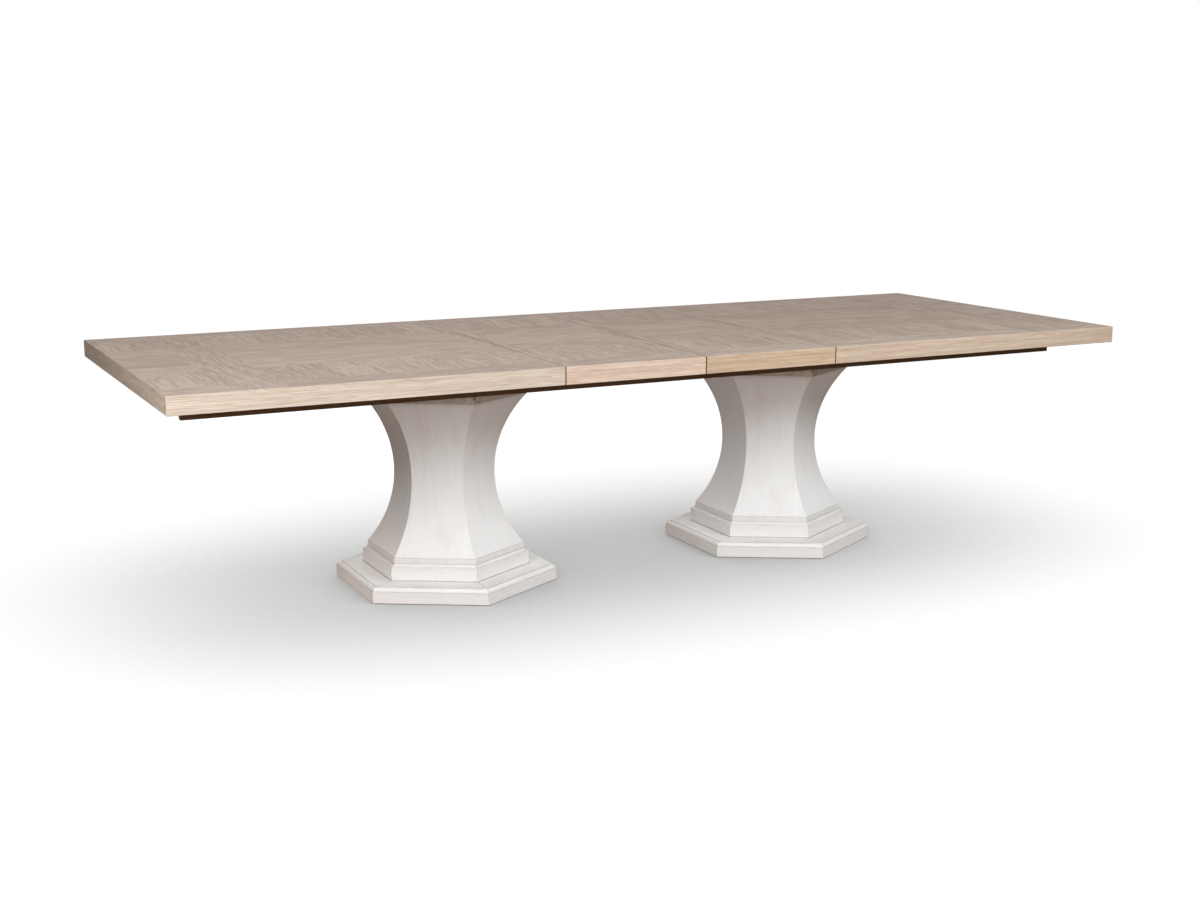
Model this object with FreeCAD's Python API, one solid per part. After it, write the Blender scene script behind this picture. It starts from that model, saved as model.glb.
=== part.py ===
import FreeCAD, Part
import math
import os

Vector = FreeCAD.Vector

# Table top. The table stands open, with both leaves in.
table_height = 750.0
table_width = 1194.0
half_length = 1118.0
leaf_length = 457.0
joint_gap = 0.6
panel_thickness = 28.0
edge_depth = 53.0
edging_width = 60.0
edge_radius = 2.0
joint_arris = 1.0

# Aprons under the long sides and across the ends
apron_inset = 222.0
apron_end_inset = 83.0
apron_thickness = 25.0
apron_depth = 78.0
end_apron_setback = 12.0

# Slides: fixed rails on the pedestals, runners under the halves
rail_end_clearance = 18.0
rail_thickness = 40.0
rail_depth = 59.0
rail_chamfer = 3.0
rail_tie_inset = 20.0
rail_tie_width = 40.0
rail_tie_thickness = 20.0
wear_strip_end = 8.0
wear_strip_width = 30.0
wear_strip_thickness = 3.0
runner_thickness = 45.0
runner_depth = 60.0
slide_gap = 5.0
tongue_drop = 32.0
tongue_thickness = 12.0
tongue_reach = 10.0
tongue_end_clearance = 1.0
tongue_clearance = 0.05

# Cross rail that carries each half's rack
cross_rail_inset = 72.0
cross_rail_width = 60.0
cross_rail_thickness = 20.0
cross_rail_clearance = 10.0
rack_seat_height = 4.0

# Rack and pinion that make the halves open together
gear_module = 4.0
pinion_teeth = 18
pressure_angle_deg = 20.0
addendum_in_modules = 1.0
dedendum_in_modules = 1.25
tooth_backlash = 0.2
rack_thickness = 14.0
rack_back = 19.0
opening_travel = 60.0
flank_points = 6

# Bridge board and pin that hold the pinion
bridge_width = 120.0
bridge_thickness = 20.0
axle_radius = 6.0
axle_flange_radius = 16.0
axle_flange_thickness = 4.0
axle_running_clearance = 0.05
axle_fixed_clearance = 0.1
axle_tail = 12.0
axle_nut_flats = 19.0
axle_nut_height = 9.0
clip_radius = 11.0
clip_thickness = 1.5
clip_groove_depth = 1.0
pinion_end_clearance = 0.3
axle_tip = 1.0

# Leaf battens
batten_width = 40.0
batten_thickness = 20.0
batten_inset = 58.0
batten_clearance = 1.0

# Screws that hold the runners, the cross rail and the rack
screw_radius = 3.0
screw_head_radius = 6.5
screw_head_height = 4.0
screw_clearance = 0.1
counterbore_clearance = 1.0
runner_screw_sink = 25.0
runner_screws = 4
runner_screw_end = 90.0
panel_screw_depth = 18.0
cross_screw_sink = 6.0
cross_screw_inset = 50.0
rack_screw_sink = 6.0

# Pedestals: hexagons with two flat sides facing along the table
pedestal_spacing = 1200.0
glide_height = 3.0
glide_radius = 14.0
glide_stem_radius = 4.0
glide_stem_length = 17.0
plinth_apothem = 306.0
plinth_fascia_top = 39.0
plinth_quirk = 2.5
plinth_thumb_radius = 11.5
plinth_fillet_height = 2.2
plinth_board_width = 100.0
tier_apothem = 230.0
tier_fascia_height = 43.3
tier_quirk = 2.0
tier_cove_radius = 8.0
hollow_apothem = 110.0
foot_band_height = 17.0
foot_apothem = 216.0
waist_apothem = 138.0
waist_height = 352.0
top_band_height = 43.0
top_band_apothem = 230.0
mounting_board_thickness = 16.0
mounting_board_length = 300.0

# Tie rod through each pedestal, and bolts up into the rails
tie_rod_radius = 8.0
tie_rod_clearance = 0.5
tie_rod_tip = 4.0
tie_nut_flats = 24.0
tie_nut_height = 13.0
tie_washer_radius = 20.0
tie_washer_thickness = 3.0
nut_bore_clearance = 0.1
tie_counterbore_radius = 24.0
tie_counterbore_depth = 25.0
rail_bolt_radius = 4.0
rail_bolt_flats = 13.0
rail_bolt_head_height = 5.5
rail_bolt_grip = 38.0
rail_bolt_inset = 50.0
rail_bolt_clearance = 0.1

# Length that a cut runs past the face that it opens
overrun = 5.0
# Distance under which two edges count as the same
same_place = 0.01

# Heights worked out from the sizes above
panel_bottom = table_height - panel_thickness
edge_bottom = table_height - edge_depth
apron_bottom = panel_bottom - apron_depth
rail_top = panel_bottom - wear_strip_thickness
rail_bottom = rail_top - rail_depth
tongue_centre = panel_bottom - tongue_drop
cross_rail_bottom = panel_bottom - cross_rail_thickness
rack_top = cross_rail_bottom - rack_seat_height
rack_bottom = rack_top - rack_thickness
bridge_top = rack_bottom - axle_flange_thickness
bridge_bottom = bridge_top - bridge_thickness
plinth_top = plinth_fascia_top + plinth_thumb_radius + plinth_fillet_height
tier_top = plinth_top + tier_fascia_height + tier_cove_radius
foot_band_top = tier_top + foot_band_height
mounting_board_bottom = rail_bottom - mounting_board_thickness
top_band_bottom = mounting_board_bottom - top_band_height

# Places along and across the table
side_y = table_width / 2
leaf_outer_x = joint_gap / 2 + leaf_length
leaf_centre_x = joint_gap / 2 + leaf_length / 2
half_inner_x = leaf_outer_x + joint_gap
half_outer_x = half_inner_x + half_length
apron_outer_y = side_y - apron_inset
apron_inner_y = apron_outer_y - apron_thickness
apron_outer_x = half_outer_x - apron_end_inset
end_apron_outer_x = apron_outer_x - end_apron_setback
end_apron_inner_x = end_apron_outer_x - apron_thickness
runner_inner_y = apron_inner_y - runner_thickness
rail_outer_y = runner_inner_y - slide_gap
rail_inner_y = rail_outer_y - rail_thickness
rail_centre_y = rail_outer_y - rail_thickness / 2
closed_apron_inner_x = half_length - apron_end_inset - end_apron_setback - apron_thickness
rail_outer_x = closed_apron_inner_x - rail_end_clearance
wear_strip_outer_x = half_inner_x - wear_strip_end
cross_rail_inner_x = half_inner_x + cross_rail_inset
cross_rail_outer_x = cross_rail_inner_x + cross_rail_width
cross_rail_centre_x = cross_rail_inner_x + cross_rail_width / 2
cross_rail_reach = rail_inner_y - cross_rail_clearance
batten_offset = leaf_length / 2 - batten_inset - batten_width / 2
rail_bolt_x = mounting_board_length / 2 - rail_bolt_inset

# Gear sizes
gear_pitch = math.pi * gear_module
pinion_pitch_radius = gear_module * pinion_teeth / 2
pressure_angle = math.radians(pressure_angle_deg)
gear_addendum = addendum_in_modules * gear_module
gear_dedendum = dedendum_in_modules * gear_module
tooth_thickness = gear_pitch / 2 - tooth_backlash
rack_tip_y = pinion_pitch_radius - gear_addendum
rack_root_y = pinion_pitch_radius + gear_dedendum
rack_back_y = rack_root_y + rack_back
rack_teeth_past_centre = math.ceil(opening_travel / gear_pitch) + 1
rack_teeth_before_centre = math.ceil(leaf_length / gear_pitch)

hexagon_sides = 6
half_turn = 180.0
mitre_angle = math.pi / hexagon_sides


def box(x0, x1, y0, y1, z0, z1):
    """Box between two opposite corners."""
    return Part.makeBox(x1 - x0, y1 - y0, z1 - z0, Vector(x0, y0, z0))


def cylinder(x, y, z0, z1, radius):
    """Upright cylinder at (x, y) from z0 up to z1."""
    return Part.makeCylinder(radius, z1 - z0, Vector(x, y, z0))


def upright_prism(points, z0, z1):
    """Prism over the outline of (x, y) points, from z0 up to z1."""
    corners = [Vector(x, y, z0) for x, y in points]
    outline = Part.makePolygon(corners + corners[:1])
    return Part.Face(outline).extrude(Vector(0, 0, z1 - z0))


def cross_prism(points, y0, y1):
    """Prism across the table over the outline of (x, z) points, from y0 to y1."""
    corners = [Vector(x, y0, z) for x, z in points]
    outline = Part.makePolygon(corners + corners[:1])
    return Part.Face(outline).extrude(Vector(0, y1 - y0, 0))


def hexagon(x, y, z0, z1, apothem):
    """Hexagonal prism with two flat sides facing +X and -X."""
    reach = apothem / math.cos(mitre_angle)
    points = []
    for index in range(hexagon_sides):
        angle = (2 * index + 1) * mitre_angle
        points.append((x + reach * math.cos(angle), y + reach * math.sin(angle)))
    return upright_prism(points, z0, z1)


def half_turned(solids):
    """The same solids turned half a turn about the upright centre line."""
    turned = []
    for solid in solids:
        copy = solid.copy()
        copy.rotate(Vector(0, 0, 0), Vector(0, 0, 1), half_turn)
        turned.append(copy)
    return turned


def moved(solids, x):
    """The same solids moved by x along the table."""
    copies = []
    for solid in solids:
        copy = solid.copy()
        copy.translate(Vector(x, 0, 0))
        copies.append(copy)
    return copies


def edges_in_plane(solid, across, place, along):
    """Edges of the solid that lie in the plane across = place and run along the other axis."""
    found = []
    for edge in solid.Edges:
        first = edge.Vertexes[0].Point
        last = edge.Vertexes[1].Point
        far = max(abs(getattr(first, across) - place), abs(getattr(last, across) - place))
        if far < same_place and abs(getattr(first, along) - getattr(last, along)) > same_place:
            found.append(edge)
    return found


def write_node(name, solids):
    """Write one piece of the table, of one or several solids."""
    shape = solids[0]
    if len(solids) > 1:
        shape = Part.makeCompound(solids)
    shape.exportStep(os.path.join("parts", name + ".step"))


# Table top


def arris_waste(x, out, face, away):
    """Outline that cuts a chamfer where the joint face at x meets the face at the other coordinate."""
    return [(x - out * joint_arris, face), (x, face - away * joint_arris),
            (x + out * overrun, face - away * joint_arris), (x + out * overrun, face + away * overrun),
            (x - out * joint_arris, face + away * overrun)]


def eased(solid, x, out):
    """Ease the top and side arrises of the joint face at x, which looks towards out."""
    solid = solid.cut(cross_prism(arris_waste(x, out, table_height, 1),
                                  -side_y - overrun, side_y + overrun))
    for side in (-1, 1):
        waste = upright_prism(arris_waste(x, out, side * side_y, side),
                              edge_bottom - overrun, table_height + overrun)
        solid = solid.cut(waste)
    return solid


def edge_bar(x0, x1):
    """Front edging before its mitre: a bar with its two outer arrises rounded."""
    bar = box(x0, x1, -side_y, -side_y + edging_width, edge_bottom, table_height)
    return bar.makeFillet(edge_radius, edges_in_plane(bar, "y", -side_y, "x"))


def mitred_edge_bar():
    """Front edging of the left half, mitred at its outer end and eased at the joint."""
    bar = eased(edge_bar(-half_outer_x, -half_inner_x), -half_inner_x, 1)
    waste = upright_prism(
        [(-half_outer_x, -side_y), (-half_outer_x + edging_width, -side_y + edging_width),
         (-half_outer_x, -side_y + edging_width)],
        edge_bottom - overrun, table_height + overrun)
    return bar.cut(waste)


def end_edge_bar():
    """End edging of the left half, mitred at both ends."""
    bar = box(-half_outer_x, -half_outer_x + edging_width, -side_y, side_y, edge_bottom, table_height)
    bar = bar.makeFillet(edge_radius, edges_in_plane(bar, "x", -half_outer_x, "y"))
    for side in (-1, 1):
        waste = upright_prism(
            [(-half_outer_x, side * side_y), (-half_outer_x + edging_width, side * side_y),
             (-half_outer_x + edging_width, side * (side_y - edging_width))],
            edge_bottom - overrun, table_height + overrun)
        bar = bar.cut(waste)
    return bar


def mirrored_front_to_back(solid):
    """The front piece mirrored to the back."""
    return solid.mirror(Vector(0, 0, 0), Vector(0, 1, 0))


def runner_screw_places():
    """(x, y) of the screws of the front runner of the left half."""
    first = -end_apron_inner_x + runner_screw_end
    last = -half_inner_x - runner_screw_end
    step = (last - first) / (runner_screws - 1)
    y = -(apron_inner_y + runner_inner_y) / 2
    return [(first + step * index, y) for index in range(runner_screws)]


def cross_screw_places():
    """(x, y) of the screws of the left cross rail."""
    y = cross_rail_reach - cross_screw_inset
    return [(-cross_rail_centre_x, -y), (-cross_rail_centre_x, y)]


def rack_screw_places():
    """(x, y) of the screws that hold the left rack under its cross rail."""
    y = (rack_root_y + rack_back_y) / 2
    spread = cross_rail_width / 4
    return [(-cross_rail_centre_x - spread, y), (-cross_rail_centre_x + spread, y)]


def screw(x, y, head_top, tip):
    """Wood screw from below: head under head_top, shank up to tip."""
    head = cylinder(x, y, head_top - screw_head_height, head_top, screw_head_radius)
    return head.fuse(cylinder(x, y, head_top, tip, screw_radius)).removeSplitter()


def screw_holes(solid, places, open_z, head_top, tip):
    """Cut a counterbore from open_z to head_top and a shank hole up to tip."""
    for x, y in places:
        bore = screw_head_radius + counterbore_clearance
        solid = solid.cut(cylinder(x, y, open_z, head_top, bore))
        solid = solid.cut(cylinder(x, y, head_top - overrun, tip, screw_radius + screw_clearance))
    return solid


def shank_holes(solid, places, tip):
    """Cut blind shank holes up into the panel."""
    for x, y in places:
        hole = cylinder(x, y, panel_bottom - overrun, tip, screw_radius + screw_clearance)
        solid = solid.cut(hole)
    return solid


def back_places(places):
    """The front screw places mirrored to the back."""
    return [(x, -y) for x, y in places]


panel_screw_tip = panel_bottom + panel_screw_depth
screw_hole_tip = panel_screw_tip + screw_clearance
runner_bottom = panel_bottom - runner_depth
runner_head_top = runner_bottom + runner_screw_sink
cross_head_top = cross_rail_bottom + cross_screw_sink
rack_head_top = rack_bottom + rack_screw_sink


def left_panel():
    """Core panel of the left half, inside its edging."""
    panel = box(-half_outer_x + edging_width, -half_inner_x,
                -side_y + edging_width, side_y - edging_width, panel_bottom, table_height)
    panel = eased(panel, -half_inner_x, 1)
    runner_places = runner_screw_places()
    panel = shank_holes(panel, runner_places + back_places(runner_places), screw_hole_tip)
    return shank_holes(panel, cross_screw_places(), screw_hole_tip)


def left_apron():
    """Front apron of the left half."""
    return box(-apron_outer_x, -half_inner_x, -apron_outer_y, -apron_inner_y, apron_bottom, panel_bottom)


def left_end_apron():
    """Apron across the end, set in behind the ends of the long aprons."""
    return box(-end_apron_outer_x, -end_apron_inner_x, -apron_inner_y, apron_inner_y,
               apron_bottom, panel_bottom)


def left_runner():
    """Front runner of the left half, with the tongue that rides in the fixed rail."""
    body = box(-end_apron_inner_x, -half_inner_x, -apron_inner_y, -runner_inner_y,
               runner_bottom, panel_bottom)
    tongue = box(-end_apron_inner_x, -half_inner_x, -runner_inner_y,
                 -runner_inner_y + slide_gap + tongue_reach,
                 tongue_centre - tongue_thickness / 2, tongue_centre + tongue_thickness / 2)
    runner = body.fuse(tongue).removeSplitter()
    return screw_holes(runner, runner_screw_places(), runner_bottom - overrun, runner_head_top,
                       panel_bottom + overrun)


def left_cross_rail():
    """Cross rail of the left half, with the raised seat of its rack."""
    rail = box(-cross_rail_outer_x, -cross_rail_inner_x, -cross_rail_reach, cross_rail_reach,
               cross_rail_bottom, panel_bottom)
    seat = box(-cross_rail_outer_x, -cross_rail_inner_x, rack_root_y, rack_back_y,
               rack_top, cross_rail_bottom)
    rail = rail.fuse(seat).removeSplitter()
    rail = screw_holes(rail, cross_screw_places(), cross_rail_bottom - overrun, cross_head_top,
                       panel_bottom + overrun)
    for x, y in rack_screw_places():
        hole = cylinder(x, y, rack_top - overrun, panel_bottom + overrun, screw_radius + screw_clearance)
        rail = rail.cut(hole)
    return rail


def left_rack():
    """Rack of the left half: its teeth face the pinion from the back side."""
    half_pitch_width = tooth_thickness / 2
    tip_half = half_pitch_width - gear_addendum * math.tan(pressure_angle)
    root_half = half_pitch_width + gear_dedendum * math.tan(pressure_angle)
    x_tip = (rack_teeth_past_centre + 1 / 2) * gear_pitch
    points = [(-cross_rail_outer_x, rack_back_y), (-cross_rail_outer_x, rack_root_y)]
    for index in range(-rack_teeth_before_centre, rack_teeth_past_centre + 1):
        x = index * gear_pitch
        points.append((x - root_half, rack_root_y))
        points.append((x - tip_half, rack_tip_y))
        points.append((x + tip_half, rack_tip_y))
        points.append((x + root_half, rack_root_y))
    points.append((x_tip, rack_root_y))
    points.append((x_tip, rack_back_y))
    rack = upright_prism(points, rack_bottom, rack_top)
    return screw_holes(rack, rack_screw_places(), rack_bottom - overrun, rack_head_top,
                       rack_top + overrun)


def left_screws():
    """Screws of the left half's runners, cross rail and rack."""
    solids = []
    runner_places = runner_screw_places()
    for x, y in runner_places + back_places(runner_places):
        solids.append(screw(x, y, runner_head_top, panel_screw_tip))
    for x, y in cross_screw_places():
        solids.append(screw(x, y, cross_head_top, panel_screw_tip))
    for x, y in rack_screw_places():
        solids.append(screw(x, y, rack_head_top, panel_bottom - screw_clearance))
    return solids


def leaf_panel():
    """Core panel of the left leaf."""
    panel = box(-leaf_outer_x, -joint_gap / 2, -side_y + edging_width, side_y - edging_width,
                panel_bottom, table_height)
    return eased(eased(panel, -leaf_outer_x, -1), -joint_gap / 2, 1)


def leaf_edging():
    """Front edging of the left leaf, eased at both joints."""
    bar = edge_bar(-leaf_outer_x, -joint_gap / 2)
    return eased(eased(bar, -leaf_outer_x, -1), -joint_gap / 2, 1)


def leaf_apron():
    """Front apron of the left leaf."""
    return box(-leaf_outer_x, -joint_gap / 2, -apron_outer_y, -apron_inner_y, apron_bottom, panel_bottom)


def leaf_battens():
    """Two battens under the left leaf that drop in between the fixed rails."""
    reach = rail_inner_y - batten_clearance
    solids = []
    for side in (-1, 1):
        x = -leaf_centre_x + side * batten_offset
        solids.append(box(x - batten_width / 2, x + batten_width / 2, -reach, reach,
                          panel_bottom - batten_thickness, panel_bottom))
    return solids


# Fixed rails, bridge and pinion


def rail_bolt_places():
    """(x, y) of the bolts that hold the rails, from a pedestal's centre line."""
    places = []
    for x in (-rail_bolt_x, rail_bolt_x):
        for y in (-rail_centre_y, rail_centre_y):
            places.append((x, y))
    return places


def front_rail():
    """Front fixed rail, with the groove for the runners' tongues."""
    rail = box(-rail_outer_x, rail_outer_x, -rail_outer_y, -rail_inner_y, rail_bottom, rail_top)
    rail = rail.makeChamfer(rail_chamfer, edges_in_plane(rail, "z", rail_bottom, "x"))
    groove_half = tongue_thickness / 2 + tongue_clearance
    groove = box(-rail_outer_x - overrun, rail_outer_x + overrun,
                 -rail_outer_y - overrun, -rail_outer_y + tongue_reach + tongue_end_clearance,
                 tongue_centre - groove_half, tongue_centre + groove_half)
    rail = rail.cut(groove)
    for centre in (-pedestal_spacing / 2, pedestal_spacing / 2):
        for x, y in rail_bolt_places():
            hole = cylinder(centre + x, y, rail_bottom - overrun, rail_bottom + rail_bolt_grip
                            + rail_bolt_clearance, rail_bolt_radius + rail_bolt_clearance)
            rail = rail.cut(hole)
    return rail


def rail_ties():
    """Ties that hold the ends of the two fixed rails at their distance."""
    outer = rail_outer_x - rail_tie_inset
    tie = box(outer - rail_tie_width, outer, -rail_inner_y, rail_inner_y,
              rail_bottom, rail_bottom + rail_tie_thickness)
    return [tie] + half_turned([tie])


def wear_strips():
    """Slippery strips on the rails that carry the leaves."""
    solids = []
    for side in (-1, 1):
        y = side * rail_centre_y
        solids.append(box(-wear_strip_outer_x, wear_strip_outer_x,
                          y - wear_strip_width / 2, y + wear_strip_width / 2, rail_top, panel_bottom))
    return solids


def bridge():
    """Board between the fixed rails under the pinion."""
    board = box(-bridge_width / 2, bridge_width / 2, -rail_inner_y, rail_inner_y,
                bridge_bottom, bridge_top)
    return board.cut(cylinder(0, 0, bridge_bottom - overrun, bridge_top + overrun,
                              axle_radius + axle_fixed_clearance))


def axle():
    """Pinion pin with its flange, the nut below the bridge and the clip on top."""
    clip_bottom = rack_top + pinion_end_clearance
    tip = clip_bottom + clip_thickness + axle_tip
    groove_radius = axle_radius - clip_groove_depth
    pin = cylinder(0, 0, bridge_bottom - axle_tail, clip_bottom, axle_radius)
    pin = pin.fuse(cylinder(0, 0, bridge_top, rack_bottom, axle_flange_radius))
    pin = pin.fuse(cylinder(0, 0, clip_bottom, clip_bottom + clip_thickness, groove_radius))
    pin = pin.fuse(cylinder(0, 0, clip_bottom + clip_thickness, tip, axle_radius)).removeSplitter()
    clip = cylinder(0, 0, clip_bottom, clip_bottom + clip_thickness, clip_radius)
    clip = clip.cut(cylinder(0, 0, clip_bottom - overrun, tip + overrun,
                             groove_radius + axle_fixed_clearance))
    pin_nut = hexagon(0, 0, bridge_bottom - axle_nut_height, bridge_bottom, axle_nut_flats / 2)
    pin_nut = pin_nut.cut(cylinder(0, 0, bridge_bottom - axle_tail - overrun, bridge_bottom + overrun,
                                   axle_radius + axle_fixed_clearance))
    return [pin, clip, pin_nut]


def involute(angle):
    """Involute function: tan(angle) - angle."""
    return math.tan(angle) - angle


def pinion():
    """Spur pinion with a gap facing each rack's middle tooth."""
    base_radius = pinion_pitch_radius * math.cos(pressure_angle)
    tip_radius = pinion_pitch_radius + gear_addendum
    root_radius = pinion_pitch_radius - gear_dedendum
    pitch_half = tooth_thickness / (2 * pinion_pitch_radius)
    flank = [(root_radius, pitch_half + involute(pressure_angle))]
    for index in range(flank_points):
        radius = base_radius + (tip_radius - base_radius) * index / (flank_points - 1)
        roll = math.acos(min(base_radius / radius, 1))
        flank.append((radius, pitch_half + involute(pressure_angle) - involute(roll)))
    points = []
    for tooth in range(pinion_teeth):
        middle = math.pi / 2 + (tooth + 1 / 2) * 2 * math.pi / pinion_teeth
        for radius, half in flank:
            points.append((radius * math.cos(middle - half), radius * math.sin(middle - half)))
        for radius, half in reversed(flank):
            points.append((radius * math.cos(middle + half), radius * math.sin(middle + half)))
    gear = upright_prism(points, rack_bottom, rack_top)
    return gear.cut(cylinder(0, 0, rack_bottom - overrun, rack_top + overrun,
                             axle_radius + axle_running_clearance))


# Pedestals, built about x = 0 and moved to their places


def mitred_boards(profile):
    """Six boards round a hexagon: the (apothem, z) face swept along one side and mitred."""
    outer = profile.BoundBox.XMax
    top = profile.BoundBox.ZMax
    bottom = profile.BoundBox.ZMin
    half_side = (outer + overrun) * math.tan(mitre_angle)
    sweep = profile.copy()
    sweep.translate(Vector(0, -half_side, 0))
    bar = sweep.extrude(Vector(0, 2 * half_side, 0))
    wedge = upright_prism([(0, 0), (outer + overrun, -half_side), (outer + overrun, half_side)],
                          bottom - overrun, top + overrun)
    board = bar.common(wedge).Solids[0]
    boards = []
    for index in range(hexagon_sides):
        copy = board.copy()
        copy.rotate(Vector(0, 0, 0), Vector(0, 0, 1), 2 * half_turn * index / hexagon_sides)
        boards.append(copy)
    return boards


def at(apothem, z):
    """Point of a board's profile, in the plane y = 0."""
    return Vector(apothem, 0, z)


def line(first, last):
    """Straight edge between two points of a profile."""
    return Part.LineSegment(first, last).toShape()


def arc(first, middle, last):
    """Round edge through three points of a profile."""
    return Part.Arc(first, middle, last).toShape()


def profile_face(edges):
    """Face inside a closed run of profile edges."""
    return Part.Face(Part.Wire(edges))


def quarter_middle(centre, radius, across, up):
    """Middle point of a quarter round about centre, towards across and up."""
    share = math.sqrt(1 / 2)
    return at(centre.x + across * radius * share, centre.z + up * radius * share)


def plinth_boards():
    """Plinth frame: plain fascia, a small quirk, a thumb moulding and a fillet up to the flat top."""
    inner = plinth_apothem - plinth_board_width
    quirk = plinth_apothem - plinth_quirk
    centre = at(quirk - plinth_thumb_radius, plinth_fascia_top)
    thumb_top = plinth_fascia_top + plinth_thumb_radius
    points = [at(inner, glide_height), at(plinth_apothem, glide_height),
              at(plinth_apothem, plinth_fascia_top), at(quirk, plinth_fascia_top),
              at(centre.x, thumb_top), at(centre.x, plinth_top), at(inner, plinth_top)]
    edges = [line(points[0], points[1]), line(points[1], points[2]), line(points[2], points[3])]
    edges.append(arc(points[3], quarter_middle(centre, plinth_thumb_radius, 1, 1), points[4]))
    edges.append(line(points[4], points[5]))
    edges.append(line(points[5], points[6]))
    edges.append(line(points[6], points[0]))
    boards = mitred_boards(profile_face(edges))
    holed = []
    for board, place in zip(boards, glide_places()):
        hole = cylinder(place[0], place[1], glide_height - overrun,
                        glide_height + glide_stem_length + screw_clearance,
                        glide_stem_radius + screw_clearance)
        holed.append(board.cut(hole))
    return holed


def glide_places():
    """(x, y) of the glides, under the middle of each plinth board."""
    middle = plinth_apothem - plinth_board_width / 2
    places = []
    for index in range(hexagon_sides):
        angle = 2 * math.pi * index / hexagon_sides
        places.append((middle * math.cos(angle), middle * math.sin(angle)))
    return places


def glides():
    """Nylon glides under the plinth."""
    solids = []
    for x, y in glide_places():
        disc = cylinder(x, y, 0, glide_height, glide_radius)
        stem = cylinder(x, y, glide_height, glide_height + glide_stem_length, glide_stem_radius)
        solids.append(disc.fuse(stem).removeSplitter())
    return solids


def base_panel():
    """Solid hexagonal board inside the plinth frame, bored for the tie rod."""
    panel = hexagon(0, 0, glide_height, plinth_top, plinth_apothem - plinth_board_width)
    sink = glide_height + tie_counterbore_depth
    panel = panel.cut(cylinder(0, 0, glide_height - overrun, sink, tie_counterbore_radius))
    return panel.cut(cylinder(0, 0, glide_height, plinth_top + overrun,
                              tie_rod_radius + tie_rod_clearance))


def tier_boards():
    """Second tier: plain fascia and a small cove under the column's foot."""
    fascia_top = plinth_top + tier_fascia_height
    quirk = tier_apothem - tier_quirk
    centre = at(quirk, tier_top)
    points = [at(hollow_apothem, plinth_top), at(tier_apothem, plinth_top),
              at(tier_apothem, fascia_top), at(quirk, fascia_top),
              at(quirk - tier_cove_radius, tier_top), at(hollow_apothem, tier_top)]
    edges = [line(points[0], points[1]), line(points[1], points[2]), line(points[2], points[3])]
    edges.append(arc(points[3], quarter_middle(centre, tier_cove_radius, -1, -1), points[4]))
    edges.append(line(points[4], points[5]))
    edges.append(line(points[5], points[0]))
    return mitred_boards(profile_face(edges))


def flare_radius(rise, run):
    """Radius of an arc that starts upright and moves out by run over the height rise."""
    return (rise * rise + run * run) / (2 * run)


def flare_middle(rise, run):
    """How far out the flare's arc is at half its height."""
    radius = flare_radius(rise, run)
    return radius - math.sqrt(radius * radius - rise * rise / 4)


def column_staves():
    """Six hollow-curved staves: a plain foot band, then a flare down and a flare up from the waist."""
    low_rise = waist_height - foot_band_top
    low_run = foot_apothem - waist_apothem
    high_rise = top_band_bottom - waist_height
    high_run = top_band_apothem - waist_apothem
    waist = at(waist_apothem, waist_height)
    foot = at(foot_apothem, foot_band_top)
    top = at(top_band_apothem, top_band_bottom)
    low_middle = at(waist_apothem + flare_middle(low_rise, low_run), waist_height - low_rise / 2)
    high_middle = at(waist_apothem + flare_middle(high_rise, high_run), waist_height + high_rise / 2)
    edges = [line(at(hollow_apothem, tier_top), at(foot_apothem, tier_top)),
             line(at(foot_apothem, tier_top), foot)]
    edges.append(arc(foot, low_middle, waist))
    edges.append(arc(waist, high_middle, top))
    edges.append(line(top, at(hollow_apothem, top_band_bottom)))
    edges.append(line(at(hollow_apothem, top_band_bottom), at(hollow_apothem, tier_top)))
    return mitred_boards(profile_face(edges))


def top_band_boards():
    """Plain band on top of the column."""
    points = [at(hollow_apothem, top_band_bottom), at(top_band_apothem, top_band_bottom),
              at(top_band_apothem, mounting_board_bottom), at(hollow_apothem, mounting_board_bottom)]
    edges = [line(points[index], points[(index + 1) % len(points)]) for index in range(len(points))]
    return mitred_boards(profile_face(edges))


def mounting_board():
    """Board on top of the pedestal that carries the fixed rails."""
    board = box(-mounting_board_length / 2, mounting_board_length / 2,
                -rail_outer_y, rail_outer_y, mounting_board_bottom, rail_bottom)
    board = board.cut(cylinder(0, 0, mounting_board_bottom - overrun, rail_bottom + overrun,
                               tie_rod_radius + tie_rod_clearance))
    for x, y in rail_bolt_places():
        hole = cylinder(x, y, mounting_board_bottom - overrun, rail_bottom + overrun,
                        rail_bolt_radius + rail_bolt_clearance)
        board = board.cut(hole)
    return board


def ring(z0, z1, radius):
    """Washer on the tie rod."""
    disc = cylinder(0, 0, z0, z1, radius)
    return disc.cut(cylinder(0, 0, z0 - overrun, z1 + overrun, tie_rod_radius + nut_bore_clearance))


def nut(z0, z1):
    """Hexagon nut on the tie rod."""
    block = hexagon(0, 0, z0, z1, tie_nut_flats / 2)
    return block.cut(cylinder(0, 0, z0 - overrun, z1 + overrun, tie_rod_radius + nut_bore_clearance))


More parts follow.
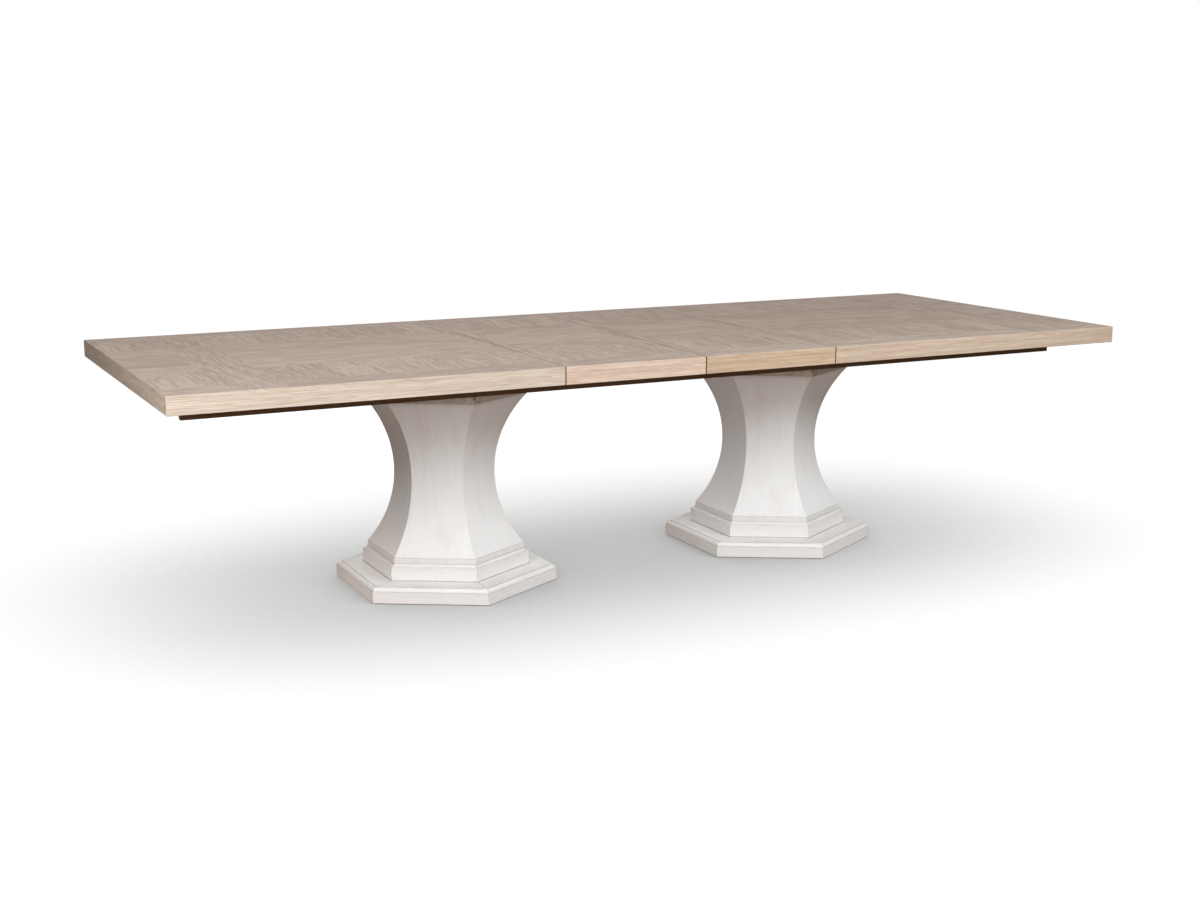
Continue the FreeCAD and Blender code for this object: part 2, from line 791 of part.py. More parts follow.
def pedestal_bolts():
    """Tie rod with its nuts and washers, and the bolts that hold the rails."""
    low_washer_top = glide_height + tie_counterbore_depth
    low_nut_top = low_washer_top - tie_washer_thickness
    high_nut_bottom = rail_bottom + tie_washer_thickness
    rod_bottom = low_nut_top - tie_nut_height - tie_rod_tip
    rod_top = high_nut_bottom + tie_nut_height + tie_rod_tip
    solids = [cylinder(0, 0, rod_bottom, rod_top, tie_rod_radius)]
    solids.append(ring(low_nut_top, low_washer_top, tie_washer_radius))
    solids.append(nut(low_nut_top - tie_nut_height, low_nut_top))
    solids.append(ring(rail_bottom, high_nut_bottom, tie_washer_radius))
    solids.append(nut(high_nut_bottom, high_nut_bottom + tie_nut_height))
    for x, y in rail_bolt_places():
        head = hexagon(x, y, mounting_board_bottom - rail_bolt_head_height, mounting_board_bottom,
                       rail_bolt_flats / 2)
        shank = cylinder(x, y, mounting_board_bottom, rail_bottom + rail_bolt_grip, rail_bolt_radius)
        solids.append(head.fuse(shank).removeSplitter())
    return solids


# Write every piece


def write_halves():
    """The left half's pieces, and the same turned half a turn for the right half."""
    front_edging = mitred_edge_bar()
    front_apron = left_apron()
    front_runner = left_runner()
    pieces = {
        "top_panel": [left_panel()],
        "edging_front": [front_edging],
        "edging_back": [mirrored_front_to_back(front_edging)],
        "edging_end": [end_edge_bar()],
        "apron_front": [front_apron],
        "apron_back": [mirrored_front_to_back(front_apron)],
        "apron_end": [left_end_apron()],
        "runner_front": [front_runner],
        "runner_back": [mirrored_front_to_back(front_runner)],
        "cross_rail": [left_cross_rail()],
        "rack": [left_rack()],
        "screws": left_screws(),
    }
    for name, solids in pieces.items():
        write_node(name + "_left", solids)
        write_node(swapped(name) + "_right", half_turned(solids))


def swapped(name):
    """Name of the place that a piece comes to after half a turn."""
    if name.endswith("_front"):
        return name.replace("_front", "_back")
    return name.replace("_back", "_front")


def write_leaves():
    """The left leaf's pieces, and the same turned half a turn for the right leaf."""
    front_edging = leaf_edging()
    front_apron = leaf_apron()
    pieces = {
        "leaf_panel": [leaf_panel()],
        "leaf_edging_front": [front_edging],
        "leaf_edging_back": [mirrored_front_to_back(front_edging)],
        "leaf_apron_front": [front_apron],
        "leaf_apron_back": [mirrored_front_to_back(front_apron)],
        "leaf_battens": leaf_battens(),
    }
    for name, solids in pieces.items():
        write_node(name + "_left", solids)
        write_node(swapped(name) + "_right", half_turned(solids))


def write_base():
    """Fixed rails, bridge, pinion and the two pedestals."""
    rail = front_rail()
    write_node("fixed_rail_front", [rail])
    write_node("fixed_rail_back", [mirrored_front_to_back(rail)])
    write_node("rail_ties", rail_ties())
    write_node("wear_strips", wear_strips())
    write_node("bridge_board", [bridge()])
    write_node("pinion_pin", axle())
    write_node("pinion", [pinion()])
    pieces = {
        "plinth_frame": plinth_boards(),
        "base_panel": [base_panel()],
        "tier_frame": tier_boards(),
        "column": column_staves(),
        "top_band": top_band_boards(),
        "mounting_board": [mounting_board()],
        "pedestal_bolts": pedestal_bolts(),
        "glides": glides(),
    }
    for name, solids in pieces.items():
        write_node(name + "_left", moved(solids, -pedestal_spacing / 2))
        write_node(name + "_right", moved(solids, pedestal_spacing / 2))


os.makedirs("parts", exist_ok=True)
write_halves()
write_leaves()
write_base()
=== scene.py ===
import math

import bpy
import numpy as np
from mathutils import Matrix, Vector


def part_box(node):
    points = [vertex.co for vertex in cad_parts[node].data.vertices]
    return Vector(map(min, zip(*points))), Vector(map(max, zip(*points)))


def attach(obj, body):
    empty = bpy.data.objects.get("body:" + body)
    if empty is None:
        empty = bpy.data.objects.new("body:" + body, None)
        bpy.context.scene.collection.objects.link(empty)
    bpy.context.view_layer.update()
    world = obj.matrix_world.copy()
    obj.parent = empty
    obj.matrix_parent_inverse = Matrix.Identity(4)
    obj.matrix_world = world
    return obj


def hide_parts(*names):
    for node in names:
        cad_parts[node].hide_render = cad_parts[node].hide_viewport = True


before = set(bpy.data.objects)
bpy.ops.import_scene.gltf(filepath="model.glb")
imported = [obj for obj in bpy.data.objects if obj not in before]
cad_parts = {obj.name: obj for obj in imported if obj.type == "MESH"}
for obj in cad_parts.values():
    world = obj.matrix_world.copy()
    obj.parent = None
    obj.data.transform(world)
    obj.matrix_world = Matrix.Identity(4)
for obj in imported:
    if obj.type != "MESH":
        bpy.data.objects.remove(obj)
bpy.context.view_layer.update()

# Pedestal boards
# Each pedestal is a plinth frame, a tier, a hollow column and a plain band, all hexagons of six
# boards mitred and glued, with eased arrises, and painted antique white with a brown glaze.

board_count = 6
half_board_angle = math.radians(30)
arris_radius = 0.0015
arris_steps = 6


def eased(corners, radii, steps=4):
    """Closed profile of (apothem, height) corners, anticlockwise, with its corners rounded.

    At a corner the two runs are cut back by radius * tan(half the turn), and the points between
    lie on the arc of that radius that touches both runs. A corner of radius 0 stays one point.
    Returns the points, their outward normals and the number of the corner that each belongs to.
    """
    corners = np.asarray(corners, float)
    radius = np.asarray(radii, float)
    before = corners - np.roll(corners, 1, axis=0)
    after = np.roll(corners, -1, axis=0) - corners
    before /= np.linalg.norm(before, axis=1)[:, None]
    after /= np.linalg.norm(after, axis=1)[:, None]
    leftward = before[:, 0] * after[:, 1] - before[:, 1] * after[:, 0]
    turn = np.arctan2(leftward, (before * after).sum(axis=1))
    side = np.where(turn >= 0, 1.0, -1.0)
    inward = np.stack([-before[:, 1], before[:, 0]], axis=1) * side[:, None]
    cut_back = radius * np.tan(np.abs(turn) / 2)
    centre = corners - before * cut_back[:, None] + inward * radius[:, None]
    count = np.where(radius > 0, steps + 1, 1)
    number = np.repeat(np.arange(len(corners)), count)
    place = np.arange(count.sum()) - np.repeat(np.cumsum(count) - count, count)
    share = np.where(radius[number] > 0, place / steps, 0.5)
    angle = np.arctan2(-inward[:, 1], -inward[:, 0])[number] + turn[number] * share
    arm = np.stack([np.cos(angle), np.sin(angle)], axis=1)
    return centre[number] + arm * radius[number][:, None], arm * side[number][:, None], number


def at_quad_corners(values):
    """Values of a grid that closes both ways, at the four corners of each of its quads."""
    beside = np.roll(values, -1, axis=1)
    return np.stack([values, beside, np.roll(beside, -1, axis=0), np.roll(values, -1, axis=0)], axis=2)


def board_flow(points, from_middle):
    """Where each quad's corners lie on their board: u along the board, v along the profile.

    u is the distance from the board's middle, less than 0 before it, plus the board's number, so
    that no two boards share their grain. v is the length of the profile up to the corner's ring.
    """
    board, place = np.divmod(np.arange(from_middle.shape[1]), arris_steps + 2)
    last_board = place < arris_steps // 2
    before_middle = ~last_board & (place <= arris_steps)
    hand = np.where(before_middle, -1.0, 1.0)
    u = at_quad_corners(from_middle) * hand[None, :, None] + (board - last_board)[None, :, None]
    length = np.linalg.norm(np.roll(points, -1, axis=0) - points, axis=1)
    along_profile = np.append(0.0, np.cumsum(length))
    v = np.empty_like(u)
    v[..., :2] = along_profile[:-1, None, None]
    v[..., 2:] = along_profile[1:, None, None]
    return np.stack([u, v], axis=3)


def mitred_ring(name, centre_x, corners, radii, glaze):
    """Six boards mitred round a hexagon with two flat sides facing along the table.

    A profile point at apothem a and height z runs round the hexagon of apothem a - arris radius,
    pushed out by the arris radius: straight along each side, and round an arc of 60 degrees at each
    mitre. So x = (a - r) / cos 30 * cos(mitre) + r * cos(turn), and y the same with sines. The
    surface's normal leans up by the profile's normal, times cos(turn - mitre) / cos 30.
    glaze is how much brown glaze each corner of the profile holds, from 0 to 1.
    """
    points, lean, number = eased(corners, radii)
    apothem, height = points[:, :1], points[:, 1:]
    mitre = half_board_angle * (1 + 2 * np.arange(board_count))
    swing = np.linspace(-half_board_angle, half_board_angle, arris_steps + 1)
    off_mitre = np.append(swing, half_board_angle)
    turn = (mitre[:, None] + off_mitre).ravel()
    off = np.tile(off_mitre, board_count)
    in_middle = np.tile(np.arange(arris_steps + 2) > arris_steps, board_count)
    corner = np.repeat(mitre, arris_steps + 2)
    heading = np.stack([np.cos(turn), np.sin(turn)], axis=1)
    to_corner = np.stack([np.cos(corner), np.sin(corner)], axis=1) / math.cos(half_board_angle)
    reach = np.where(in_middle[:, None], heading, to_corner)
    rings, columns = len(points), len(turn)
    vertices = np.empty((rings, columns, 3))
    vertices[..., :2] = apothem[..., None] * reach + arris_radius * (heading - reach)
    vertices[..., 0] += centre_x
    vertices[..., 2] = height
    normals = np.empty((rings, columns, 3))
    normals[..., :2] = lean[:, None, :1] * heading
    normals[..., 2] = lean[:, 1:] * np.cos(off) / math.cos(half_board_angle)
    normals /= np.linalg.norm(normals, axis=2)[..., None]
    faces = at_quad_corners(np.arange(rings * columns).reshape(rings, columns)).reshape(-1, 4)
    mesh = bpy.data.meshes.new(name)
    mesh.from_pydata(vertices.reshape(-1, 3), [], faces)
    mesh.polygons.foreach_set("use_smooth", np.ones(len(faces), bool))
    mesh.normals_split_custom_set_from_vertices(normals.reshape(-1, 3))

    half_board = (apothem - arris_radius) * math.tan(half_board_angle)
    from_mitre = arris_radius * np.abs(off) + half_board * in_middle
    from_middle = (half_board + arris_radius * (half_board_angle - np.abs(off))) * ~in_middle
    flow = mesh.uv_layers.new(name="flow")
    flow.data.foreach_set("uv", board_flow(points, from_middle).ravel())
    mesh.attributes.new("from_mitre", "FLOAT", "POINT").data.foreach_set("value", from_mitre.ravel())
    held = np.repeat(np.asarray(glaze, float)[number], columns)
    mesh.attributes.new("glaze", "FLOAT", "POINT").data.foreach_set("value", held)
    mesh.update()
    piece = bpy.data.objects.new(name, mesh)
    bpy.context.scene.collection.objects.link(piece)
    return piece


def shade(red, green, blue):
    """Colour of a screen value from 0 to 255: each part over 255, to the power 2.2."""
    return (*[(part / 255) ** 2.2 for part in (red, green, blue)], 1.0)


def new_finish(name, roughness, gloss=0.5):
    """A material with one Principled shader, and that shader."""
    finish = bpy.data.materials.new(name)
    finish.use_nodes = True
    shader = finish.node_tree.nodes["Principled BSDF"]
    shader.inputs["Roughness"].default_value = roughness
    shader.inputs["Specular IOR Level"].default_value = gloss
    return finish, shader


def step(finish, kind, inputs, output=0, **settings):
    """Add one shader node, set or join its inputs by name or number, and return one of its outputs."""
    node = finish.node_tree.nodes.new("ShaderNode" + kind)
    for name, value in settings.items():
        setattr(node, name, value)
    for socket, value in inputs.items():
        if isinstance(value, bpy.types.NodeSocket):
            finish.node_tree.links.new(value, node.inputs[socket])
        else:
            node.inputs[socket].default_value = value
    return node.outputs[output]


def reckon(finish, operation, first, second=0.0):
    """One step of arithmetic on one or two numbers."""
    return step(finish, "Math", {0: first, 1: second}, operation=operation)


def sum_of(finish, first, second):
    """first + second"""
    return reckon(finish, "ADD", first, second)


def times(finish, first, second):
    """first * second"""
    return reckon(finish, "MULTIPLY", first, second)


def blend(finish, *parts):
    """Sum of pairs, each a value times its weight."""
    total, *others = [times(finish, value, weight) for value, weight in parts]
    for other in others:
        total = sum_of(finish, total, other)
    return total


def ranged(finish, value, low, high, first, last):
    """Straight run from the first number, where the value is low, to the last, where it is high."""
    return step(finish, "MapRange", {0: value, 1: low, 2: high, 3: first, 4: last})


def rising(finish, value, low, high):
    """Smooth rise from 0 at low to 1 at high, or a fall where low is the larger."""
    return step(finish, "MapRange", {0: value, 1: low, 2: high}, interpolation_type="SMOOTHSTEP")


def mixed(finish, share, first, second):
    """Colour that goes from the first to the second as the share goes from 0 to 1."""
    return step(finish, "Mix", {0: share, 6: first, 7: second}, output=2, data_type="RGBA")


def split(finish, vector):
    """The three parts of a vector."""
    return tuple(step(finish, "SeparateXYZ", {0: vector}).node.outputs)


def streaks(finish, along, across, depth, lengthwise, crosswise, detail=3.0):
    """Noise drawn out along the grain: noise of (along * lengthwise, across * crosswise, depth)."""
    grain = step(finish, "CombineXYZ", {0: times(finish, along, lengthwise),
                                       1: times(finish, across, crosswise), 2: depth})
    return step(finish, "TexNoise", {"Vector": grain, "Scale": 1.0, "Detail": detail, "Roughness": 0.6})


def join(finish, output, shader, socket):
    """Lead an output to one of the shader's sockets."""
    finish.node_tree.links.new(output, shader.inputs[socket])


def roughen(finish, shader, grain, smooth, rough):
    """Roughness from smooth to rough as the grain's noise goes from 0.3 to 0.7."""
    join(finish, ranged(finish, grain, 0.3, 0.7, smooth, rough), shader, "Roughness")


def emboss(finish, shader, relief, strength, depth=0.0003):
    """Bump from a relief of 0 to 1, the depth being in metres."""
    bump = step(finish, "Bump", {"Strength": strength, "Distance": depth, "Height": relief})
    join(finish, bump, shader, "Normal")


def antique_white(name, grain_up, dull, bright, recess_glaze_and_shade, mitre_glaze, mitre_line):
    """Brushed paint over wood grain, with glaze in the recesses and along the mitres.

    The grain runs up the profile or along the board. The glaze is the profile's own weight, broken
    by noise, and a thin line that fades out at mitre_line from each mitre. On the top band the
    weight covers the whole face, and there the glaze is painted shade.
    """
    finish, shader = new_finish(name, 0.75, 0.12)
    round_ring, up_profile, _ = split(finish, step(finish, "UVMap", {}, uv_map="flow"))
    along, across = (up_profile, round_ring) if grain_up else (round_ring, up_profile)
    brush = streaks(finish, along, across, depth=1.0, lengthwise=14.0, crosswise=300.0)
    grain = streaks(finish, along, across, depth=4.0, lengthwise=6.0, crosswise=60.0)
    cloud = streaks(finish, along, across, depth=8.0, lengthwise=7.0, crosswise=15.0)
    worn = streaks(finish, along, across, depth=15.0, lengthwise=40.0, crosswise=90.0, detail=4.0)
    from_mitre = step(finish, "Attribute", {}, output="Fac", attribute_name="from_mitre")
    held = step(finish, "Attribute", {}, output="Fac", attribute_name="glaze")
    tone = blend(finish, (brush, 0.45), (grain, 0.55))
    paint = mixed(finish, rising(finish, tone, 0.3, 0.7), dull, bright)
    thin = times(finish, rising(finish, cloud, 0.45, 0.8), 0.5)
    paint = mixed(finish, thin, paint, shade(229, 221, 214))
    glaze_and_shade_share = times(finish, held, ranged(finish, worn, 0.3, 0.65, 0.55, 1.0))
    paint = mixed(finish, times(finish, glaze_and_shade_share, recess_glaze_and_shade), paint, shade(146, 124, 104))
    near_mitre = rising(finish, from_mitre, mitre_line, mitre_line / 4)
    line = times(finish, near_mitre, rising(finish, worn, 0.35, 0.65))
    paint = mixed(finish, times(finish, line, mitre_glaze), paint, shade(92, 72, 55))
    join(finish, paint, shader, "Base Color")
    roughen(finish, shader, tone, 0.68, 0.82)
    emboss(finish, shader, tone, 0.18)
    return finish


upright_paint = antique_white("antique_white_upright", True, shade(233, 232, 232), shade(239, 239, 239),
                              recess_glaze_and_shade=0.55, mitre_glaze=0.1, mitre_line=0.0016)
# The same white is a little lighter on the level boards than on the columns: painted light on the
# plinths and tiers.
level_paint_with_painted_light = antique_white("antique_white_level_painted_light", False, shade(237, 236, 236), shade(243, 242, 242),
                            recess_glaze_and_shade=0.85, mitre_glaze=0.5, mitre_line=0.0024)
# The band's glaze covers its whole face: painted shade under the apron, with a wide dark line at each
# mitre.
band_paint_with_painted_shade = antique_white("antique_white_band_painted_shade", False, shade(237, 236, 236), shade(243, 242, 242),
                           recess_glaze_and_shade=0.75, mitre_glaze=0.85, mitre_line=0.0055)


def pedestal_boards(kind, corners, radii, glaze, paint):
    """One painted ring on each pedestal, in the place of its CAD node."""
    for side in ("left", "right"):
        node = kind + "_" + side
        low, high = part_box(node)
        piece = mitred_ring(kind + "_boards_" + side, (low[0] + high[0]) / 2, corners, radii, glaze)
        piece.data.materials.append(paint)
        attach(piece, "base")
        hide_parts(node)


# Plinth frames
# Six level boards with a plain fascia, a small step and a thumb moulding up to the flat top.
# Glaze has settled in the step, behind the moulding and where the tier stands on the boards.

plinth_corners = [(0.2060, 0.0030), (0.3060, 0.0030), (0.3060, 0.0060), (0.3060, 0.0360),
                  (0.3060, 0.0390), (0.3035, 0.0390), (0.3035, 0.0505), (0.2920, 0.0505),
                  (0.2920, 0.0527), (0.2885, 0.0527), (0.2345, 0.0527), (0.2302, 0.0527),
                  (0.2060, 0.0527)]
plinth_radii = [0.0005, 0.0010, 0, 0, 0.0009, 0.0004, 0.0110, 0.0004, 0.0008, 0, 0, 0, 0.0005]
plinth_glaze = [0, 0.2, 0.05, 0.05, 0.38, 1, 0, 1, 0.4, 0, 0, 1, 0]
pedestal_boards("plinth_frame", plinth_corners, plinth_radii, plinth_glaze, level_paint_with_painted_light)

# Tiers
# A second ring of level boards on the plinth, with a small cove under the column's foot.
# They are glued to the plinth and to the base panel inside it.

tier_corners = [(0.1100, 0.0527), (0.2300, 0.0527), (0.2300, 0.0560), (0.2300, 0.0935),
                (0.2300, 0.0960), (0.2200, 0.0960), (0.2200, 0.1040), (0.1100, 0.1040)]
tier_radii = [0.0005, 0.0005, 0, 0, 0.0009, 0.0074, 0.0004, 0.0005]
tier_glaze = [0, 1, 0.19, 0.17, 0.3, 0.15, 0.5, 0]
pedestal_boards("tier_frame", tier_corners, tier_radii, tier_glaze, level_paint_with_painted_light)

# Columns
# Six upright staves, each hollowed to two arcs that meet at the waist, above a plain foot band.
# An arc leaves the waist upright, so its apothem is waist + R - sqrt(R^2 - height from waist^2).

waist_apothem = 0.138
waist_height = 0.352
flare_steps = 24


def flare(end_apothem, end_height):
    """Points of one hollow arc from the waist out to its end, where R = (rise^2 + run^2) / 2 run.

    The last point but one lies close to the end, so that glaze at the end stays a thin line.
    """
    rise = end_height - waist_height
    run = end_apothem - waist_apothem
    radius = (rise * rise + run * run) / (2 * run)
    height = np.append(np.linspace(0, rise * 0.99, flare_steps), rise)
    apothem = waist_apothem + radius - np.sqrt(radius ** 2 - height ** 2)
    return np.stack([apothem, waist_height + height], axis=1)


foot_band = [(0.1100, 0.1040), (0.2160, 0.1040), (0.2160, 0.1065), (0.2160, 0.1190)]
low_flare = flare(0.216, 0.121)[::-1]
high_flare = flare(0.230, 0.601)
column_corners = np.concatenate([foot_band, low_flare[:-1], high_flare, [(0.1100, 0.6010)]])
plain_points = 2 * flare_steps - 1
column_radii = [0.0005, 0.0006, 0, 0, 0.0009] + [0] * plain_points + [0.0006, 0.0005]
column_glaze = [0, 0.6, 0.22, 0.22, 0.7] + [0] * (plain_points - 1) + [0.38, 0.5, 0]
pedestal_boards("column", column_corners, column_radii, column_glaze, upright_paint)

# Top bands
# A plain ring of level boards, clamped onto each column by the tie rod. The apron hides its upper
# part. It lies in shadow, and the brown glaze over its whole face is painted shade; the dark line
# at each mitre is glaze.

band_corners = [(0.1100, 0.6010), (0.2300, 0.6010), (0.2300, 0.6035), (0.2300, 0.6420),
                (0.2300, 0.6440), (0.1100, 0.6440)]
band_radii = [0.0005, 0.0007, 0, 0, 0.0007, 0.0005]
# Glaze weight 1 on every outer face of the band: painted shade.
band_painted_shade = [0, 1, 1, 1, 1, 0]
pedestal_boards("top_band", band_corners, band_radii, band_painted_shade, band_paint_with_painted_shade)

# Plywood boards
# The solid board inside each plinth and the board on each pedestal that carries the rails,
# both of birch plywood, left bare. Their edges show the plies.


def dress(finish, *nodes):
    """Put one finish on every slot of the CAD nodes."""
    for name in nodes:
        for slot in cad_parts[name].material_slots:
            slot.material = finish


def spot_on(finish):
    """The place on the piece, in its own coordinates, in metres."""
    return step(finish, "TexCoord", {}, output="Object")


def facing(finish):
    """The x, y and z of the way that the surface faces."""
    return split(finish, step(finish, "NewGeometry", {}, output="Normal"))


def size_of(finish, value):
    """The value without its sign."""
    return reckon(finish, "ABSOLUTE", value)


def is_over(finish, value, limit):
    """1 where the value is over the limit, otherwise 0."""
    return reckon(finish, "GREATER_THAN", value, limit)


ply_wave = 4400.0
plywood, shader = new_finish("birch_plywood", 0.62)
x, y, z = split(plywood, spot_on(plywood))
flame = streaks(plywood, x, y, depth=2.0, lengthwise=4.0, crosswise=26.0, detail=4.0)
fibre = streaks(plywood, x, y, depth=6.0, lengthwise=30.0, crosswise=420.0)
sheet_tone = rising(plywood, blend(plywood, (flame, 0.6), (fibre, 0.4)), 0.34, 0.66)
sheet = mixed(plywood, sheet_tone, shade(186, 156, 118), shade(220, 196, 160))
plies = reckon(plywood, "SINE", times(plywood, z, ply_wave))
edge_grain = streaks(plywood, x, z, depth=3.0, lengthwise=60.0, crosswise=900.0, detail=2.0)
edge_tone = rising(plywood, sum_of(plywood, plies, times(plywood, edge_grain, 0.8)), -0.2, 0.9)
edge = mixed(plywood, edge_tone, shade(150, 116, 82), shade(206, 176, 136))
on_sheet = is_over(plywood, size_of(plywood, facing(plywood)[2]), 0.5)
join(plywood, mixed(plywood, on_sheet, edge, sheet), shader, "Base Color")
emboss(plywood, shader, fibre, 0.3)
dress(plywood, "base_panel_left", "base_panel_right", "mounting_board_left", "mounting_board_right")

# Glides and wear strips
# Natural nylon: glides pressed in under the plinths, and slippery strips on the fixed rails.
# The racks and the pinion are cut from the same nylon.

nylon, shader = new_finish("natural_nylon", 0.42)
mottle = step(nylon, "TexNoise", {"Vector": spot_on(nylon), "Scale": 260.0, "Detail": 3.0})
scuff = step(nylon, "TexNoise", {"Vector": spot_on(nylon), "Scale": 38.0, "Detail": 5.0})
cream = mixed(nylon, rising(nylon, mottle, 0.35, 0.65), shade(219, 213, 200), shade(232, 228, 217))
scuffed = times(nylon, rising(nylon, scuff, 0.52, 0.75), 0.4)
join(nylon, mixed(nylon, scuffed, cream, shade(188, 180, 165)), shader, "Base Color")
roughen(nylon, shader, scuff, 0.36, 0.52)
emboss(nylon, shader, mottle, 0.15, depth=0.0002)
dress(nylon, "glides_left", "glides_right", "wear_strips", "rack_left", "rack_right", "pinion")

# Bolts, tie rods, pinion pin and screws
# Zinc-plated steel with the faint crystals and the milky bloom of plating. They clamp the
# pedestals, hold the rails down and carry the pinion.

zinc, shader = new_finish("zinc_plate", 0.35)
shader.inputs["Metallic"].default_value = 1.0
crystal = step(zinc, "TexVoronoi", {"Vector": spot_on(zinc), "Scale": 900.0}, output="Color")
bloom = step(zinc, "TexNoise", {"Vector": spot_on(zinc), "Scale": 120.0, "Detail": 4.0})
plate = mixed(zinc, rising(zinc, bloom, 0.35, 0.7), shade(196, 198, 200), shade(170, 170, 166))
join(zinc, mixed(zinc, 0.06, plate, crystal), shader, "Base Color")
roughen(zinc, shader, bloom, 0.26, 0.46)
emboss(zinc, shader, bloom, 0.1, depth=0.0001)
dress(zinc, "pedestal_bolts_left", "pedestal_bolts_right", "pinion_pin", "screws_left", "screws_right")

# Slides
# Fixed rails, runners, cross rails, ties, bridge board and leaf battens, of planed and waxed beech.
# Beech shows short dark flecks along its grain, and each piece is cut along its own length.


def beech(name, lengthways):
    """Waxed beech with the grain along x or y: streaks, and flecks where a fine noise peaks."""
    finish, shader = new_finish(name, 0.5)
    x, y, z = split(finish, spot_on(finish))
    along, across = (x, y) if lengthways == "x" else (y, x)
    side = sum_of(finish, across, times(finish, z, 1.7))
    band = streaks(finish, along, side, depth=2.0, lengthwise=1.5, crosswise=60.0)
    fibre = streaks(finish, along, side, depth=5.0, lengthwise=14.0, crosswise=600.0)
    peak = streaks(finish, along, side, depth=9.0, lengthwise=120.0, crosswise=1300.0, detail=1.0)
    tone = rising(finish, blend(finish, (band, 0.6), (fibre, 0.4)), 0.34, 0.66)
    wood = mixed(finish, tone, shade(194, 158, 126), shade(221, 191, 160))
    fleck = times(finish, rising(finish, peak, 0.62, 0.74), 0.5)
    wood = mixed(finish, fleck, wood, shade(138, 92, 60))
    join(finish, wood, shader, "Base Color")
    roughen(finish, shader, fibre, 0.42, 0.58)
    emboss(finish, shader, fibre, 0.25, depth=0.0002)
    return finish


dress(beech("beech_lengthways", "x"), "fixed_rail_front", "fixed_rail_back", "bridge_board",
      "runner_front_left", "runner_back_left", "runner_front_right", "runner_back_right")
dress(beech("beech_crossways", "y"), "rail_ties", "cross_rail_left", "cross_rail_right",
      "leaf_battens_left", "leaf_battens_right")

# Aprons
# Solid boards stained near black, screwed up under the top in one length for each half and leaf.
# They hang in the shadow of the top, so they read as one thin dark band.


def dark_stain(name, lengthways):
    """Dark stained oak with the grain along x or y, its pores a little paler than the stain."""
    finish, shader = new_finish(name, 0.7, 0.15)
    x, y, z = split(finish, spot_on(finish))
    along, across = (x, y) if lengthways == "x" else (y, x)
    side = sum_of(finish, z, times(finish, across, 1.3))
    band = streaks(finish, along, side, depth=3.0, lengthwise=2.0, crosswise=110.0)
    fibre = streaks(finish, along, side, depth=7.0, lengthwise=22.0, crosswise=900.0)
    tone = rising(finish, blend(finish, (band, 0.55), (fibre, 0.45)), 0.34, 0.68)
    join(finish, mixed(finish, tone, shade(74, 54, 36), shade(97, 73, 52)), shader, "Base Color")
    roughen(finish, shader, fibre, 0.6, 0.78)
    emboss(finish, shader, fibre, 0.3)
    return finish


dress(dark_stain("dark_stain_lengthways", "x"), "apron_front_left", "apron_back_left",
      "apron_front_right", "apron_back_right", "leaf_apron_front_left", "leaf_apron_back_left",
      "leaf_apron_front_right", "leaf_apron_back_right")
dress(dark_stain("dark_stain_crossways", "y"), "apron_end_left", "apron_end_right")

# Table top
# Sawn oak veneer laid in a pattern over the panels and their edging, greyed and limed, with a
# strip along every joint, a crossband and an end strip at each end. The edging shows solid oak.

top_length = 3.1518
joint_place = 0.4576
strip_half = 0.042
end_strip = 0.184
crossband = 0.144
row_edges = (-0.483, -0.223, 0.277, 0.527)
field_sheets = 8.0
band_sheets = 10.4
edging_stretch = 0.28
sheet_spread = 90.0
arch_turns = 90.0
facing_limit = 0.6
# Distances from a joint at which the painted shadow of the gap begins and is full.
joint_shadow_line = (0.0028, 0.0010)


def is_under(finish, value, limit):
    """1 where the value is under the limit, otherwise 0."""
    return reckon(finish, "LESS_THAN", value, limit)


def larger(finish, first, second):
    """The larger of two numbers."""
    return reckon(finish, "MAXIMUM", first, second)


def either(finish, share, first, second):
    """The first number where the share is 0, and the second where it is 1."""
    return step(finish, "Mix", {0: share, 2: first, 3: second}, data_type="FLOAT")


